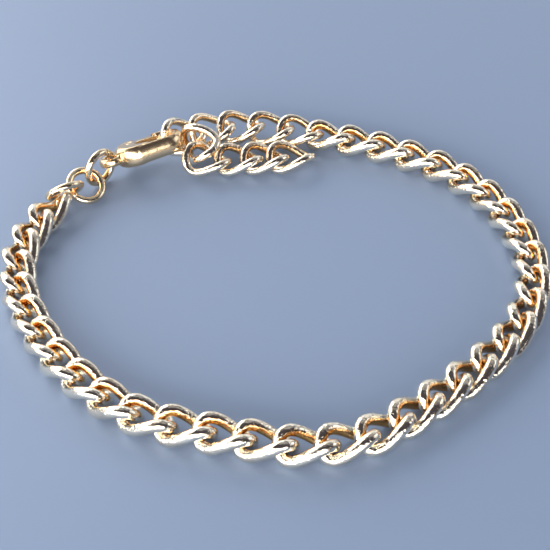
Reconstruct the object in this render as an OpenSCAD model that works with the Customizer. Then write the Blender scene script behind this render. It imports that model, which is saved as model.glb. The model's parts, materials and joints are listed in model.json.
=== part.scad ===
// Link bracelet: a curb chain closed by a lobster clasp on an extender chain, lying on a flat surface.
// Millimetres, +Z up. The origin is on the surface, in the middle of the bracelet's outline.

/* [Curb chain] */
// Number of main links
curb_count = 34; // [32:1:38]
// Length that each main link adds to the chain
curb_pitch = 4.5; // [4.4:0.05:4.7]
// Width across a main link
curb_width = 4.8; // [4.7:0.1:5.2]
// Thickness of the main links' wire
curb_wire = 1.4; // [1.2:0.05:1.45]
// Half the twist of a main link, from its middle plane to a lobe's centre line
curb_rise = 1.1; // [1.05:0.01:1.15]

/* [Extender] */
// Length that each extender link adds to the drawn row
extender_pitch = 4.6; // [4.5:0.05:4.8]
// Links in the loose tail, from its second one on
tail_count = 4; // [2:1:5]
// Width across an extender link
extender_width = 5.8; // [5.6:0.1:6]
// Thickness of the extender's wire
extender_wire = 1.15; // [0.9:0.05:1.15]

/* [Jump rings] */
// Outer diameter of a jump ring
ring_size = 5.6; // [5.5:0.05:5.7]
// Thickness of a jump ring's wire
ring_wire = 1; // [0.8:0.05:1.05]

/* [Clasp] */
// Thickness of the clasp's knuckle
clasp_thick = 2.8; // [2.5:0.1:2.9]
// Thickness of the hook's bar and of the spine
bar_width = 1.2; // [1:0.05:1.25]
// Thickness of the lever's tongue
tongue_thick = 1.1; // [0.8:0.05:1.3]
// Radius of the rivet
pin_radius = 0.45; // [0.35:0.01:0.5]
// Radius of the hole in the tail eye
tail_hole_radius = 0.9; // [0.85:0.01:1]

/* [Clearances] */
// Free length between two linked curb links
link_play = 0.2; // [0.15:0.01:0.3]
// Gap between the rivet and the lever's bore
pin_gap = 0.05; // [0.03:0.01:0.08]
// Gap on each side of the lever's tongue in its slot
slot_gap = 0.1; // [0.05:0.01:0.15]
// Gap between the lever's tip and the hook's end
tip_gap = 0.08; // [0.05:0.01:0.12]

/* [Hidden] */
// Steps along a link's wire, and sides around it
wire_rings = 16;
wire_sides = 6;
// A six-sided wire is drawn a little larger, so that it has about the section of a round one
wire_swell = 1.05;
extender_rise = 0.95;

// Half a link's length and the radius of its wire, to the wire's centre line
function half_length(pitch, wire) = (pitch + wire_swell * wire + link_play) / 2;
function wire_radius(wire) = wire_swell * wire / 2;
// How far a link's inner end lies from its middle
function inner_end(pitch, wire) = half_length(pitch, wire) - wire_radius(wire);

// The clasp's pose, as place, roll about the chain's direction, pitch and heading
clasp_pose = [[-18.75, 22.11, 3.13], [22.8, 4.5, 206.1]];
tail_x = 4.5;
tail_eye = [clasp_pose[0][0], clasp_pose[0][1]] + tail_x * [cos(clasp_pose[1][2]), sin(clasp_pose[1][2])];

// Jump rings: each one's lean, heading and direction from the piece before it, from the clasp on
ring_leans = [88.8, -32.3, 49.6];
ring_headings = [231.1, 219.7, 209.9];
ring_directions = [230.5, 237, 217.1];
ring_slack = 0.34;
ring_rest = 0.06;
ring_middle = (ring_size - ring_wire) / 2;
ring_count = len(ring_leans);
function way(angle) = [cos(angle), sin(angle)];
function ring_spot(i) = i == 0
    ? tail_eye + (ring_middle - ring_slack / 2) * way(ring_directions[0])
    : ring_spot(i - 1) + (2 * ring_middle - ring_wire - ring_slack) * way(ring_directions[i]);
function ring_height(i) = ring_middle * abs(sin(ring_leans[i])) + ring_wire / 2 + ring_rest;

// Half a link's width to its wire's centre line, and the height of one that lies flat
function half_width(width, wire) = (width - wire) / 2;
function flat_height(rise, wire) = rise + wire_radius(wire) * cos(180 / wire_sides);

// Extender: the link caught by the hook, and the tail's first two, each hooked to the side of the one before
extender_inner = inner_end(extender_pitch, extender_wire);
extender_half_width = half_width(extender_width, extender_wire);
caught_end = [-15.19, 24.61];
caught_turn = [-32.2, -6, 214.2];
caught_height = 3.15;
caught_spot = caught_end + extender_inner * way(caught_turn[2] - 180);
tail_first_turn = [56.1, -8.9, -45.5];
tail_first_height = 2.89;
tail_first_offset = [-0.7, 1.59];
tail_first_spot = caught_spot + extender_half_width * way(caught_turn[2] + 90) + tail_first_offset
    + extender_inner * way(tail_first_turn[2]);
tail_second_turn = [6.6, 9.5, 4];
tail_second_height = 1.98;
tail_second_offset = [-0.49, 1.75];
tail_second_spot = tail_first_spot + extender_inner * way(tail_first_turn[2])
    - extender_half_width * way(tail_second_turn[2] + 90) + tail_second_offset;
// The rest of the tail lies flat and pushed together, with a gap between every second link
tail_direction = 6.5;
tail_gap = 0.103;
tail_rest = 0.13;
tail_slack = 0.1;
tail_start = concat(
    tail_second_spot + (extender_pitch - tail_slack) * way(tail_direction),
    flat_height(extender_rise, extender_wire) + tail_rest
);
tail_step = [extender_pitch + link_play + 4 * wire_radius(extender_wire) + tail_gap, 0.54, 0] / 2;
// The drawn row: each link's direction from the one before it, and its heading, height and roll
row_slack = 0.3;
row_caught_slack = 0.1;
row_directions = [25.4, 12.8, 3.2, -9.2];
row_headings = [21.3, 7.7, 0.7, -13.7];
row_heights = [2.88, 2.63, 2.12, 1.99];
row_rolls = [16.6, 10.7, 15.2, 4.7];
row_count = len(row_rolls);
function row_spot(i) = i == 0
    ? caught_spot + (extender_pitch - row_caught_slack) * way(row_directions[0])
    : row_spot(i - 1) + (extender_pitch - row_slack) * way(row_directions[i]);

// The curb chain's first and last spots, and the way that the chain points beyond them
curb_slack = 0.2;
curb_first_aim = 56;
curb_first_direction = 248.7;
curb_last_aim = 166;
curb_last_direction = -11.9;
curb_first_spot = ring_spot(ring_count - 1)
    + (ring_middle - ring_wire / 2 + inner_end(curb_pitch, curb_wire) - curb_slack) * way(curb_first_direction);
curb_last_spot = row_spot(row_count - 1)
    + (inner_end(curb_pitch, curb_wire) + inner_end(extender_pitch, extender_wire) - row_slack) * way(curb_last_direction);
// The chosen points that the chain lies through, anticlockwise
route_points = concat(
    [curb_first_spot + curb_pitch * way(curb_first_aim), curb_first_spot],
    [[-32.5, 2], [-31.2, -7], [-26.3, -16.3], [-20.2, -23.1], [-14.2, -27.1], [-8.3, -28.8],
        [-2.4, -30.2], [3.8, -30.9], [9.3, -29.7], [14.1, -26.9], [22.3, -19.9], [28.2, -13],
        [31.3, -5.9], [32, 1], [30.7, 7.8], [28.3, 13.3], [24.2, 18.7], [18.6, 22.9], [13, 25.7]],
    [curb_last_spot, curb_last_spot + curb_pitch * way(curb_last_aim)]
);
// When the links get longer or more, the route grows away from this point, and its ends stay
route_anchor = [-11, 18];
route_steps = 12;
route_last = len(route_points) - 1;

// The route as a smooth curve through its points

function bend(a, b, c, d, t) = 0.5 * (2 * b + (c - a) * t + (2 * a - 5 * b + 4 * c - d) * t * t
    + (3 * b - a - 3 * c + d) * t * t * t);
function grown(i, growth) = route_points[i]
    + growth * max(0, sin(180 * (i - 1) / (route_last - 2))) * (route_points[i] - route_anchor);
function control(i, growth) = i < 0 ? 2 * control(0, growth) - control(1, growth)
    : i > route_last ? 2 * control(route_last, growth) - control(route_last - 1, growth)
    : grown(i, growth);
function route(growth) = [for (i = [0:route_last - 1], k = [0:route_steps - 1]) let (t = k / route_steps)
    bend(control(i - 1, growth), control(i, growth), control(i + 1, growth), control(i + 2, growth), t)];
function lengths(path) = [for (i = 0, s = 0; i < len(path);
    s = s + (i + 1 < len(path) ? norm(path[i + 1] - path[i]) : 0), i = i + 1) s];
// Lengths at which the first and the last main link lie
function span(s) = s[(route_last - 1) * route_steps] - s[route_steps];

wanted_span = (curb_count - 1) * curb_pitch;
plain_span = span(lengths(route(0)));
test_growth = 0.05;
route_growth = test_growth * (wanted_span - plain_span) / (span(lengths(route(test_growth))) - plain_span);
path = route(route_growth);
path_lengths = lengths(path);
path_x = [for (i = [0:len(path) - 1]) [path_lengths[i], path[i][0]]];
path_y = [for (i = [0:len(path) - 1]) [path_lengths[i], path[i][1]]];
curb_start = path_lengths[route_steps];
curb_step = span(path_lengths) / (curb_count - 1);

function on_route(s) = [lookup(s, path_x), lookup(s, path_y)];
function heading(v) = atan2(v[1], v[0]);
function curb_spot(i) = on_route(curb_start + (i - 1) * curb_step);
function curb_heading(i) = heading(on_route(curb_start + (i - 0.5) * curb_step)
    - on_route(curb_start + (i - 1.5) * curb_step));
function unit(v) = v / norm(v);

// Middle of the bracelet's outline, which becomes the origin
middle = [-0.13, -0.94, 0];

// One twisted link: a wire bent round an oval whose four lobes lie by turns above and below its plane
module twisted_link(pitch, width, wire, rise) {
    long = half_length(pitch, wire);
    wide = half_width(width, wire);
    radius = wire_radius(wire);
    points = [for (i = [0:wire_rings - 1], k = [0:wire_sides - 1])
        let (
            t = 360 * i / wire_rings,
            turn = 360 * k / wire_sides,
            out = unit([wide * cos(t), long * sin(t), 0]),
            along = unit([-long * sin(t), wide * cos(t), -2 * rise * cos(2 * t)]),
            up = cross(along, out)
        )
        [long * cos(t), wide * sin(t), -rise * sin(2 * t)]
            + radius * (cos(turn) * out + sin(turn) * up)];
    faces = [for (i = [0:wire_rings - 1], k = [0:wire_sides - 1])
        let (j = (i + 1) % wire_rings, m = (k + 1) % wire_sides)
        each [
            [i * wire_sides + k, j * wire_sides + m, i * wire_sides + m],
            [i * wire_sides + k, j * wire_sides + k, j * wire_sides + m]
        ]];
    polyhedron(points, faces);
}

module posed(pose) {
    translate(pose[0] - middle) rotate(pose[1]) children();
}

// Main chain

module curb_link(i) {
    color("khaki")
        posed([concat(curb_spot(i), flat_height(curb_rise, curb_wire)), [0, 0, curb_heading(i)]])
            twisted_link(curb_pitch, curb_width, curb_wire, curb_rise);
}

// Jump rings, numbered from the curb chain to the clasp

module jump_ring(number) {
    i = ring_count - number;
    color("gold")
        posed([concat(ring_spot(i), ring_height(i)), [ring_leans[i], 0, ring_headings[i]]])
            rotate_extrude($fn = 48)
                translate([ring_middle, 0])
                    circle(d = ring_wire, $fn = 24);
}

// Extender

module extender_link() {
    twisted_link(extender_pitch, extender_width, extender_wire, extender_rise);
}

module extender_row() {
    color("goldenrod") {
        posed([concat(caught_spot, caught_height), caught_turn]) extender_link();
        for (i = [0:row_count - 1])
            posed([concat(row_spot(i), row_heights[i]), [row_rolls[i], 0, row_headings[i]]]) extender_link();
    }
}

module extender_tail() {
    color("goldenrod") {
        posed([concat(tail_first_spot, tail_first_height), tail_first_turn]) extender_link();
        posed([concat(tail_second_spot, tail_second_height), tail_second_turn]) extender_link();
        for (i = [0:tail_count - 2])
            posed([tail_start + i * tail_step, [0, 0, 0]]) extender_link();
    }
}

// Clasp, drawn with its nose at -X, its spine at +Y and its lever at -Y

nose_x = -3.55;
eye_radius = 1.5;
eye_end_x = -0.8;
eye_end_radius = 1.4;
knuckle_x = 0.9;
knuckle_radius = 2.65;
neck_x = 3.1;
neck_radius = 1;
neck_thick = clasp_thick - 0.6;
edge_round = 0.45;
bar_thick = clasp_thick - 0.2;
bar_y = eye_radius + bar_width / 2;
outer_y = eye_radius + bar_width;
tail_rim = 0.8;
tail_thick = 1.2;
tail_round = 0.3;
pin_spot = [1.3, -0.9];
// Ends of the opening on the lever's side, and how far it reaches in
hook_end_x = -3;
hook_end_slant = 0.7;
opening_end_x = 0.3;
opening_y = -0.5;
slot_start_x = -1;
slot_end_x = 2.4;
slot_y = 0.6;
// Long enough to cut through the clasp
through = 2 * knuckle_radius;

// A rectangle with round corners about the middle
module rounded(width, height, corner) {
    square([width - 2 * corner, height], center = true);
    square([width, height - 2 * corner], center = true);
    for (x = [-1, 1], y = [-1, 1])
        translate([x * (width / 2 - corner), y * (height / 2 - corner)]) circle(corner, $fn = 24);
}

module bar_section() {
    rounded(bar_width, bar_thick, edge_round);
}

// A disc with a round rim, low enough in detail to go in a hull
module round_disc(radius, thick) {
    flat = radius - edge_round;
    rotate_extrude($fn = 32)
        hull() {
            translate([0, -thick / 2]) square([flat, thick]);
            for (side = [-1, 1])
                translate([flat, side * (thick / 2 - edge_round)]) circle(edge_round, $fn = 12);
        }
}

module clasp_solid() {
    // Hook
    translate([nose_x, 0, 0]) rotate([0, 0, 90])
        rotate_extrude(angle = 180, $fn = 64) translate([bar_y, 0]) bar_section();
    // Spine, and the bar that the opening cuts
    for (side = [-1, 1])
        translate([nose_x, side * bar_y, 0]) rotate([90, 0, 90])
            linear_extrude(knuckle_x - nose_x) bar_section();
    // Knuckle
    hull() {
        translate([knuckle_x, 0, 0]) round_disc(knuckle_radius, clasp_thick);
        translate([neck_x, 0, 0]) round_disc(neck_radius, neck_thick);
    }
    // Tail eye
    translate([tail_x, 0, 0]) rotate_extrude($fn = 48)
        translate([tail_hole_radius + tail_rim / 2, 0]) rounded(tail_rim, tail_thick, tail_round);
}

module on_pin() {
    translate([pin_spot[0], pin_spot[1], 0]) children();
}

module clasp_body_solid() {
    difference() {
        clasp_solid();
        // Round end of the eye, in the knuckle
        translate([eye_end_x, 0, 0]) cylinder(h = through, r = eye_end_radius, center = true, $fn = 32);
        translate([nose_x, -eye_end_radius, -through / 2])
            cube([eye_end_x - nose_x, 2 * eye_end_radius, through]);
        // Opening that the lever closes
        linear_extrude(through, center = true)
            polygon([
                [hook_end_x, opening_y], [hook_end_x, -eye_radius], [hook_end_x + hook_end_slant, -outer_y],
                [hook_end_x + hook_end_slant, -through], [opening_end_x, -through], [opening_end_x, opening_y]
            ]);
        // Slot for the lever's tongue
        translate([slot_start_x, -through, -tongue_thick / 2 - slot_gap])
            cube([slot_end_x - slot_start_x, through + slot_y, tongue_thick + 2 * slot_gap]);
        on_pin() cylinder(h = through, r = pin_radius, center = true, $fn = 32);
        translate([tail_x, 0, 0]) cylinder(h = through, r = tail_hole_radius, center = true, $fn = 48);
    }
}

module clasp_body() {
    color("gold") posed(clasp_pose) clasp_body_solid();
}

module clasp_pin() {
    color("darkgoldenrod") posed(clasp_pose)
        on_pin() cylinder(h = clasp_thick, r = pin_radius, center = true, $fn = 32);
}

// The lever: an arm from the hook's end to the knuckle, a tongue round the rivet, and a thumb tab

arm_thick = clasp_thick - 0.7;
arm_end_x = -0.1;
arm_inset = 0.05;
tongue_radius = 0.95;
stem_width = 1.1;
stem_x = 0.75;
tab_width = 1.8;
tab_height = 0.8;
tab_gap = 0.4;

module clasp_lever_solid() {
    tip_x = hook_end_x + tip_gap;
    arm_y = outer_y - arm_inset;
    tab_y = knuckle_radius + tab_gap;
    difference() {
        union() {
            linear_extrude(arm_thick, center = true)
                polygon([
                    [tip_x, -eye_radius], [tip_x + hook_end_slant, -arm_y],
                    [arm_end_x, -arm_y], [arm_end_x, -eye_radius]
                ]);
            linear_extrude(tongue_thick, center = true) {
                polygon([
                    [slot_start_x + slot_gap, -eye_radius], [slot_start_x + slot_gap, -arm_y],
                    [pin_spot[0], -arm_y], [pin_spot[0], pin_spot[1] + tongue_radius * 0.9],
                    [arm_end_x, -eye_radius]
                ]);
                translate(pin_spot) circle(tongue_radius, $fn = 32);
                translate([stem_x - stem_width / 2, -tab_y - tab_height / 2])
                    square([stem_width, tab_y + tab_height / 2 + pin_spot[1]]);
            }
            translate([stem_x, -tab_y - tab_height / 2, 0]) rotate([90, 0, 0])
                cylinder(h = tab_height, d = tab_width, center = true, $fn = 24);
        }
        on_pin() cylinder(h = through, r = pin_radius + pin_gap, center = true, $fn = 32);
    }
}

module clasp_lever() {
    color("khaki") posed(clasp_pose) clasp_lever_solid();
}

for (i = [1:curb_count])
    curb_link(i);
for (i = [1:ring_count])
    jump_ring(i);
clasp_body();
clasp_lever();
clasp_pin();
extender_row();
extender_tail();
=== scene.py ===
import json
import math
import bpy
import bmesh
import numpy as np
from mathutils import Matrix, Vector


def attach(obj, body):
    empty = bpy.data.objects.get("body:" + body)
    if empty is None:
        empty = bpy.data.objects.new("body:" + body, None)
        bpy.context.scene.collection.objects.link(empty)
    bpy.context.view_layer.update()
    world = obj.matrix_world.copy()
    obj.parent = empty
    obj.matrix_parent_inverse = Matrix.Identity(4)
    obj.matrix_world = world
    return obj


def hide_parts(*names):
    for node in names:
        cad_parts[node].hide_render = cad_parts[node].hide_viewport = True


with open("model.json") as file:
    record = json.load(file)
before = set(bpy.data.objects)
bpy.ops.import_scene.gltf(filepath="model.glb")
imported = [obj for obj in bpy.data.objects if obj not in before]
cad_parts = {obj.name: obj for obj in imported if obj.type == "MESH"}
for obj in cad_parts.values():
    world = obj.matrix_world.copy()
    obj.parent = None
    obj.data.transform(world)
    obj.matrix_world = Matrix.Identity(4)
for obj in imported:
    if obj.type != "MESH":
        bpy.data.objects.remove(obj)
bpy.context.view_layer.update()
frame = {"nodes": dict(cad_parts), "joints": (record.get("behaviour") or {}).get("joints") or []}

nodes = frame["nodes"]
hinge = frame["joints"][0]  # the clasp's lever turns on it
mm = 0.001
weld = 1e-7  # metres: points nearer than this are one point
print("stage: frame loaded,", len(nodes), "nodes")

# Reading where the solids lie

def nodeIslands(node):
    # the loose solids of a node, each as an array of points
    shape = bmesh.new()
    shape.from_mesh(nodes[node].data)
    bmesh.ops.remove_doubles(shape, verts=shape.verts, dist=weld)
    left = dict.fromkeys(shape.verts)
    islands = []
    while left:
        heap = [left.popitem()[0]]
        found = list(heap)
        while heap:
            for edge in heap.pop().link_edges:
                for other in edge.verts:
                    if other in left:
                        del left[other]
                        heap.append(other)
                        found.append(other)
        islands.append(np.array([v.co for v in found]))
    shape.free()
    return sorted(islands, key=lambda points: tuple(points.mean(axis=0)))

def restingPose(points):
    # middle, and the length, width and height directions as columns
    middle = points.mean(axis=0)
    spread = points - middle
    axes = np.linalg.eigh(spread.T @ spread)[1][:, ::-1]
    if np.linalg.det(axes) < 0:
        axes[:, 2] *= -1
    if axes[2, 2] < 0:
        axes[:, 1:] *= -1
    return middle, axes

def ringPose(points):
    # a ring looks alike all round, so its length runs level in its own plane
    middle, axes = restingPose(points)
    normal = axes[:, 2]
    level = np.cross((0, 0, 1), normal)
    level /= np.linalg.norm(level)
    return middle, np.stack([level, np.cross(normal, level), normal], axis=1)

# Making and dressing a piece

def addObject(name, data):
    made = bpy.data.objects.new(name, data)
    bpy.context.scene.collection.objects.link(made)
    return made

def newPiece(name, points, faces, inside=None):
    # inside holds, for each point, how far it faces the inside of its link, where the base colour is
    # painted deeper orange as painted warm reflection and shade between the wires
    mesh = bpy.data.meshes.new(name)
    mesh.from_pydata([tuple(p) for p in points], [], faces)
    mesh.shade_smooth()
    if inside is not None:
        shares = mesh.attributes.new("inside", "FLOAT", "POINT")
        shares.data.foreach_set("value", np.array(inside, dtype=np.float32))
    return addObject(name, mesh)

def tubeFaces(steps, sides, first=0):
    # quads of a closed tube, its rings one after the other
    return [(first + i * sides + k,
             first + ((i + 1) % steps) * sides + k,
             first + ((i + 1) % steps) * sides + (k + 1) % sides,
             first + i * sides + (k + 1) % sides)
            for i in range(steps) for k in range(sides)]

def dress(piece, body, material, node):
    piece.data.materials.clear()
    piece.data.materials.append(material)
    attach(piece, body)
    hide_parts(node)

# Finishes: thin gold plate over polished wire, with painted warm reflection and shade inside the links and
# rings

mottleLook = {
    "patches": {"scale": 260, "detail": 3},  # pale and deeper areas, a few to a link
    "ripple": {"scale": 2400, "detail": 3},  # the polished wire's slight unevenness
    "grain": {"scale": 5200, "detail": 4},
    "patchRange": (0.35, 0.65),
    "patchShare": 0.2,  # how deep the patches get
    "haze": 0.1,  # roughness that the grain adds
    "grainHeight": 0.12,  # beside the ripple's 1
    "depth": 0.15,  # millimetres
}

def addSocket(group, name, direction, kind, value=None):
    made = group.interface.new_socket(name=name, in_out=direction, socket_type=kind)
    if value is not None:
        made.default_value = value

def makeMottle():
    # colour, roughness and height of the plate
    group = bpy.data.node_groups.new("platedMottle", "ShaderNodeTree")
    addSocket(group, "Pale", "INPUT", "NodeSocketColor", (1, 0.9, 0.7, 1))
    addSocket(group, "Deep", "INPUT", "NodeSocketColor", (0.9, 0.7, 0.4, 1))
    addSocket(group, "Scale", "INPUT", "NodeSocketFloat", 1)
    addSocket(group, "Gloss", "INPUT", "NodeSocketFloat", 0.1)
    addSocket(group, "Color", "OUTPUT", "NodeSocketColor")
    addSocket(group, "Roughness", "OUTPUT", "NodeSocketFloat")
    addSocket(group, "Height", "OUTPUT", "NodeSocketFloat")
    add, join = group.nodes.new, group.links.new
    given, out = add("NodeGroupInput"), add("NodeGroupOutput")
    place = add("ShaderNodeTexCoord")
    grow = add("ShaderNodeVectorMath"); grow.operation = "SCALE"
    join(place.outputs["Object"], grow.inputs[0])
    join(given.outputs["Scale"], grow.inputs["Scale"])
    noise = {}
    for name in ("patches", "ripple", "grain"):
        noise[name] = add("ShaderNodeTexNoise")
        noise[name].inputs["Scale"].default_value = mottleLook[name]["scale"]
        noise[name].inputs["Detail"].default_value = mottleLook[name]["detail"]
        join(grow.outputs[0], noise[name].inputs["Vector"])

    # colour: deeper in random patches, and painted deeper orange on the inside of links and rings as
    # painted warm reflection and shade
    tint = add("ShaderNodeMix"); tint.data_type = "RGBA"
    spread = add("ShaderNodeMapRange")
    spread.inputs["From Min"].default_value = mottleLook["patchRange"][0]
    spread.inputs["From Max"].default_value = mottleLook["patchRange"][1]
    spread.inputs["To Max"].default_value = mottleLook["patchShare"]
    join(noise["patches"].outputs["Fac"], spread.inputs["Value"])
    # painted warm reflection and shade: the inside attribute deepens the colour on the inner side of each
    # wire
    paintedReflectShare = add("ShaderNodeAttribute"); paintedReflectShare.attribute_name = "inside"
    depth = add("ShaderNodeMath"); depth.operation = "ADD"; depth.use_clamp = True
    join(spread.outputs["Result"], depth.inputs[0])
    join(paintedReflectShare.outputs["Fac"], depth.inputs[1])
    join(depth.outputs[0], tint.inputs["Factor"])
    join(given.outputs["Pale"], tint.inputs["A"])
    join(given.outputs["Deep"], tint.inputs["B"])
    join(tint.outputs["Result"], out.inputs["Color"])

    # roughness and height: grain x share + the finish's gloss, or + the ripple
    haze = add("ShaderNodeMath"); haze.operation = "MULTIPLY_ADD"
    join(noise["grain"].outputs["Fac"], haze.inputs[0])
    haze.inputs[1].default_value = mottleLook["haze"]
    join(given.outputs["Gloss"], haze.inputs[2])
    join(haze.outputs[0], out.inputs["Roughness"])
    relief = add("ShaderNodeMath"); relief.operation = "MULTIPLY_ADD"
    join(noise["grain"].outputs["Fac"], relief.inputs[0])
    relief.inputs[1].default_value = mottleLook["grainHeight"]
    join(noise["ripple"].outputs["Fac"], relief.inputs[2])
    join(relief.outputs[0], out.inputs["Height"])
    return group

mottle = makeMottle()

def goldFinish(name, finish):
    material = bpy.data.materials.new(name)
    material.use_nodes = True
    tree = material.node_tree
    shader = tree.nodes["Principled BSDF"]
    plate = tree.nodes.new("ShaderNodeGroup")
    plate.node_tree = mottle
    plate.inputs["Pale"].default_value = (*finish["pale"], 1)
    plate.inputs["Deep"].default_value = (*finish["deep"], 1)
    plate.inputs["Scale"].default_value = finish["scale"]
    plate.inputs["Gloss"].default_value = finish["gloss"]
    bump = tree.nodes.new("ShaderNodeBump")
    bump.inputs["Strength"].default_value = finish["relief"]
    bump.inputs["Distance"].default_value = mottleLook["depth"] * mm
    tree.links.new(plate.outputs["Color"], shader.inputs["Base Color"])
    tree.links.new(plate.outputs["Roughness"], shader.inputs["Roughness"])
    tree.links.new(plate.outputs["Height"], bump.inputs["Height"])
    tree.links.new(bump.outputs["Normal"], shader.inputs["Normal"])
    shader.inputs["Metallic"].default_value = 1
    return material

# gloss is the least roughness, and a smaller scale makes the mottling larger; deep is the colour of the
# random deeper patches and also of the painted warm reflection and shade inside each link and ring
curbFinish = {"pale": (0.97, 0.90, 0.75), "deep": (0.76, 0.41, 0.13),
              "scale": 1, "gloss": 0.02, "relief": 0.6}
ringFinish = {"pale": (0.96, 0.82, 0.59), "deep": (0.82, 0.50, 0.22),
              "scale": 1, "gloss": 0.05, "relief": 0.4}
claspFinish = {"pale": (0.82, 0.63, 0.40), "deep": (0.74, 0.49, 0.24),
               "scale": 0.7, "gloss": 0.18, "relief": 0.12}
extenderFinish = {"pale": (0.96, 0.87, 0.71), "deep": (0.84, 0.52, 0.24),
                  "scale": 1, "gloss": 0.05, "relief": 0.6}
curbGold = goldFinish("curbGold", curbFinish)
ringGold = goldFinish("ringGold", ringFinish)
claspGold = goldFinish("claspGold", claspFinish)
extenderGold = goldFinish("extenderGold", extenderFinish)
print("stage: finishes made")

# Twisted links, in millimetres

# where on each wire the painted warm reflection and shade falls
paintedReflectBand = {"slope": 1.9, "start": 0.9}

def insideShare(turn):
    # 1 where the wire of a link or a ring faces its middle, 0 from about 60 degrees away from there: the
    # share of painted warm reflection and shade
    return np.clip(-paintedReflectBand["slope"] * np.cos(turn) - paintedReflectBand["start"], 0, 1)

def twistedLink(link):
    # points of one link about its own middle: an oval wire whose quarters lie by turns above and below
    halfLength = (link["pitch"] + link["hold"] * link["wire"] + link["play"]) / 2
    halfWidth = (link["width"] - link["wire"]) / 2
    rise = link["rise"]
    t = np.arange(link["steps"]) * 2 * math.pi / link["steps"]
    turn = np.arange(link["sides"]) * 2 * math.pi / link["sides"]
    line = np.stack([halfLength * np.cos(t), halfWidth * np.sin(t), -rise * np.sin(2 * t)], axis=1)
    away = np.stack([halfWidth * np.cos(t), halfLength * np.sin(t), 0 * t], axis=1)
    along = np.stack([-halfLength * np.sin(t), halfWidth * np.cos(t), -2 * rise * np.cos(2 * t)], axis=1)
    away /= np.linalg.norm(away, axis=1)[:, None]
    along /= np.linalg.norm(along, axis=1)[:, None]
    up = np.cross(along, away)
    points = line[:, None] + link["wire"] / 2 * (np.cos(turn)[None, :, None] * away[:, None]
                                                 + np.sin(turn)[None, :, None] * up[:, None])
    points = points.reshape(-1, 3)
    points[:, 2] = np.clip(points[:, 2], -link["flat"], link["flat"])  # the faces that rub flat
    return points, np.tile(insideShare(turn), link["steps"])

# hold is how many wires longer than its pitch a link is, to pass round the next
curb = {"pitch": 4.5, "wire": 1.44, "width": 4.8, "rise": 1.07, "hold": 1.05, "play": 0.16,
        "flat": 1.75, "steps": 96, "sides": 24}
curbPoints, curbInside = twistedLink(curb)
curbFaces = tubeFaces(curb["steps"], curb["sides"])
curbNodes = sorted((n for n in nodes if n.startswith("curb_link_")), key=lambda n: int(n.split("_")[-1]))
for node in curbNodes:
    middle, axes = restingPose(nodeIslands(node)[0])
    points = middle + mm * curbPoints @ axes.T
    piece = newPiece("curbLink_" + node.split("_")[-1], points, curbFaces, curbInside)
    dress(piece, "bracelet", curbGold, node)
print("stage:", len(curbNodes), "curb links")

extender = {"pitch": 4.6, "wire": 1.15, "width": 5.8, "rise": 0.95, "hold": 1.05, "play": 0.2,
            "flat": 1.6, "steps": 96, "sides": 20}
extenderPoints, extenderInside = twistedLink(extender)
for name, node in (("extenderRow", "extender_row"), ("extenderTail", "extender_tail")):
    points, faces = [], []
    for island in nodeIslands(node):
        middle, axes = restingPose(island)
        faces += tubeFaces(extender["steps"], extender["sides"], len(points))
        points += list(middle + mm * extenderPoints @ axes.T)
    inside = np.tile(extenderInside, len(points) // len(extenderPoints))
    dress(newPiece(name, points, faces, inside), "bracelet", extenderGold, node)
print("stage: extender")

# Jump rings, each with the fine line where its wire was closed

jumpRing = {"size": 5.6, "wire": 1.0, "slit": 0.05, "slitDepth": 0.12, "slitAt": (40, 200, 120),
            "steps": 96, "sides": 24}

def ringPoints(ring, slitAt):
    middleRadius = (ring["size"] - ring["wire"]) / 2
    half = math.degrees(ring["slit"] / middleRadius) / 2
    rings = [(slitAt - half, 1), (slitAt, 1 - ring["slitDepth"]), (slitAt + half, 1)]
    rings += [(slitAt + 360 * i / ring["steps"], 1) for i in range(1, ring["steps"])]
    points = []
    for angle, share in rings:
        a = math.radians(angle)
        for k in range(ring["sides"]):
            turn = 2 * math.pi * k / ring["sides"]
            reach = middleRadius + share * ring["wire"] / 2 * math.cos(turn)
            height = share * ring["wire"] / 2 * math.sin(turn)
            points.append((reach * math.cos(a), reach * math.sin(a), height))
    turns = 2 * math.pi * np.arange(ring["sides"]) / ring["sides"]
    return np.array(points), len(rings), np.tile(insideShare(turns), len(rings))

for number, slitAt in enumerate(jumpRing["slitAt"], 1):
    node = f"jump_ring_{number}"
    middle, axes = ringPose(nodeIslands(node)[0])
    points, steps, inside = ringPoints(jumpRing, slitAt)
    points = middle + mm * points @ axes.T
    piece = newPiece(f"jumpRing_{number}", points, tubeFaces(steps, jumpRing["sides"]), inside)
    dress(piece, "bracelet", ringGold, node)
print("stage: jump rings")

# Clasp: the solids with the soft edges of a polished casting

def crownWalls(mesh, cast):
    # opens the rivet's hole to its size again and draws the upright walls in towards both flat faces,
    # as on a half-round casting, except around the rivet
    axis, pivot = np.array(hinge["axis"]), np.array(hinge["pos_m"])
    spots = np.array([v.co for v in mesh.vertices])
    normals = np.array([v.normal for v in mesh.vertices])
    height = (spots - pivot) @ axis
    radial = spots - pivot - height[:, None] * axis
    reach = np.linalg.norm(radial, axis=1) / mm
    opened = np.maximum(cast["bore"] / reach, 1) - 1
    inset = cast["crown"] * np.abs(height / mm / (cast["thick"] / 2)) ** 2
    inset *= np.clip(reach - cast["plain"], 0, 1)
    level = normals - (normals @ axis)[:, None] * axis
    spots += opened[:, None] * radial - mm * inset[:, None] * level
    mesh.vertices.foreach_set("co", spots.ravel())
    mesh.update()

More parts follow.
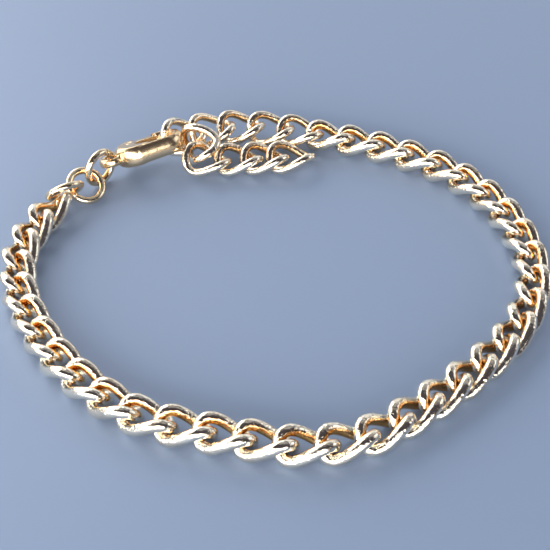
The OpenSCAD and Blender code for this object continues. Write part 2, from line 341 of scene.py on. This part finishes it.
def castCopy(name, node, cast):
    # works in millimetres, because the remesh has a smallest voxel
    mesh = nodes[node].data.copy()
    mesh.transform(Matrix.Scale(1 / mm, 4))
    shape = bmesh.new()
    shape.from_mesh(mesh)
    bmesh.ops.remove_doubles(shape, verts=shape.verts, dist=weld / mm)
    shape.to_mesh(mesh)
    shape.free()
    rough = addObject(name + "Rough", mesh)
    remesh = rough.modifiers.new("remesh", "REMESH")
    remesh.mode = "VOXEL"
    remesh.voxel_size = cast["voxel"]
    polish = rough.modifiers.new("polish", "SMOOTH")
    polish.factor = cast["softness"]
    polish.iterations = cast["polish"]
    done = bpy.data.meshes.new_from_object(rough.evaluated_get(bpy.context.evaluated_depsgraph_get()))
    bpy.data.objects.remove(rough)
    done.transform(Matrix.Scale(mm, 4))
    crownWalls(done, cast)
    done.name = name
    done.shade_smooth()
    return addObject(name, done)

# bore and plain are radii about the rivet: its hole, and the part that keeps straight walls
claspCast = {"voxel": 0.07, "polish": 20, "softness": 0.5,
             "thick": 2.8, "crown": 0.38, "bore": 0.48, "plain": 1.1}
leverCast = {**claspCast, "voxel": 0.05, "crown": 0}
dress(castCopy("claspBody", "clasp_body", claspCast), "bracelet", claspGold, "clasp_body")
dress(castCopy("claspLever", "clasp_lever", leverCast), "lever", claspGold, "clasp_lever")

rivet = {"radius": 0.45, "length": 2.8, "dome": 0.1, "domeAngles": (15, 30, 45, 60, 75, 90), "sides": 32}

def rivetPiece(name):
    # a turned pin with shallow domed ends, on the lever's hinge
    across = Vector(hinge["axis"]).to_track_quat("Z", "Y").to_matrix()
    half, radius, dome, sides = rivet["length"] / 2, rivet["radius"], rivet["dome"], rivet["sides"]
    outline = [(radius * math.sin(a), half - dome + dome * math.cos(a))
               for a in map(math.radians, rivet["domeAngles"])]
    outline += [(r, -z) for r, z in reversed(outline)]
    turns = [2 * math.pi * k / sides for k in range(sides)]
    points = [Vector((r * math.cos(turn), r * math.sin(turn), z)) for r, z in outline for turn in turns]
    faces = tubeFaces(len(outline), sides)[:-sides]  # without the strip that would join its two ends
    faces += [tuple(range(sides)), tuple(reversed(range(len(points) - sides, len(points))))]
    return newPiece(name, [Vector(hinge["pos_m"]) + mm * (across @ p) for p in points], faces)

dress(rivetPiece("claspPin"), "bracelet", claspGold, "clasp_pin")
print("stage: clasp")

# Floor, light and camera

floorLook = {"color": (0.255, 0.334, 0.49), "roughness": 0.5, "metallic": 0.15, "size": 6}
floorDrop = 0.03 * mm  # so that no link dips into the floor
bpy.ops.mesh.primitive_plane_add(size=floorLook["size"], location=(0, 0, -floorDrop))
floor = bpy.context.object
floor.name = "floor"
floorMaterial = bpy.data.materials.new("floorPaint")
floorMaterial.use_nodes = True
floorShader = floorMaterial.node_tree.nodes["Principled BSDF"]
floorShader.inputs["Base Color"].default_value = (*floorLook["color"], 1)
floorShader.inputs["Roughness"].default_value = floorLook["roughness"]
floorShader.inputs["Metallic"].default_value = floorLook["metallic"]
floor.data.materials.append(floorMaterial)

def softLight(name, light):
    # a soft box that faces the bracelet; its power grows with its area, so that glow is how bright it looks
    lamp = bpy.data.lights.new(name, "AREA")
    lamp.shape = "RECTANGLE"
    lamp.size, lamp.size_y = light["size"]
    lamp.energy = light["glow"] * math.pi * lamp.size * lamp.size_y
    lamp.color = light["color"]
    turn, lift = (math.radians(x) for x in light["from"])
    way = Vector((math.cos(turn) * math.cos(lift), math.sin(turn) * math.cos(lift), math.sin(lift)))
    holder = addObject(name, lamp)
    holder.location = light["away"] * way
    holder.rotation_euler = (-way).to_track_quat("-Z", "Y").to_euler()

# from is the azimuth and the height in degrees; away and size are in metres
lights = {
    "frontLight": {"from": (-112, 18), "away": 0.9, "size": (2.7, 0.56),
                   "glow": 5.8, "color": (1, 0.99, 0.97)},
    "leftLight": {"from": (146, 31), "away": 0.9, "size": (1.3, 0.8),
                  "glow": 2.3, "color": (1, 0.99, 0.97)},
    "rightLight": {"from": (12, 22), "away": 0.9, "size": (0.6, 0.4),
                   "glow": 1.6, "color": (0.95, 0.97, 1)},
    "farLight": {"from": (88, 24), "away": 1.0, "size": (1.7, 0.8),
                 "glow": 0.9, "color": (0.92, 0.96, 1)},
    "topLight": {"from": (80, 70), "away": 0.9, "size": (1.3, 0.45),
                 "glow": 0.34, "color": (0.95, 0.98, 1)},
}
for name, light in lights.items():
    softLight(name, light)

studio = {"color": (0.07, 0.065, 0.08), "strength": 1}  # the dark that the crests of the links mirror
world = bpy.data.worlds.new("studio")
world.use_nodes = True
world.node_tree.nodes["Background"].inputs["Color"].default_value = (*studio["color"], 1)
world.node_tree.nodes["Background"].inputs["Strength"].default_value = studio["strength"]
bpy.context.scene.world = world
bpy.context.scene.view_settings.view_transform = "Standard"

# place in millimetres; down is how far below the horizon the camera looks, in degrees
view = {"place": (0.13, -118.56, 101.58), "down": 40.607, "focalPixels": 1223.48, "photoPixels": 550,
        "sensor": 36, "nearest": 2}
camera = bpy.data.cameras.new("camera")
camera.sensor_width = view["sensor"]
camera.lens = view["sensor"] * view["focalPixels"] / view["photoPixels"]
camera.clip_start = view["nearest"] * mm
holder = addObject("camera", camera)
holder.location = [mm * x for x in view["place"]]
holder.rotation_euler = (math.radians(90 - view["down"]), 0, 0)
bpy.context.scene.camera = holder
print("stage: floor, light and camera")
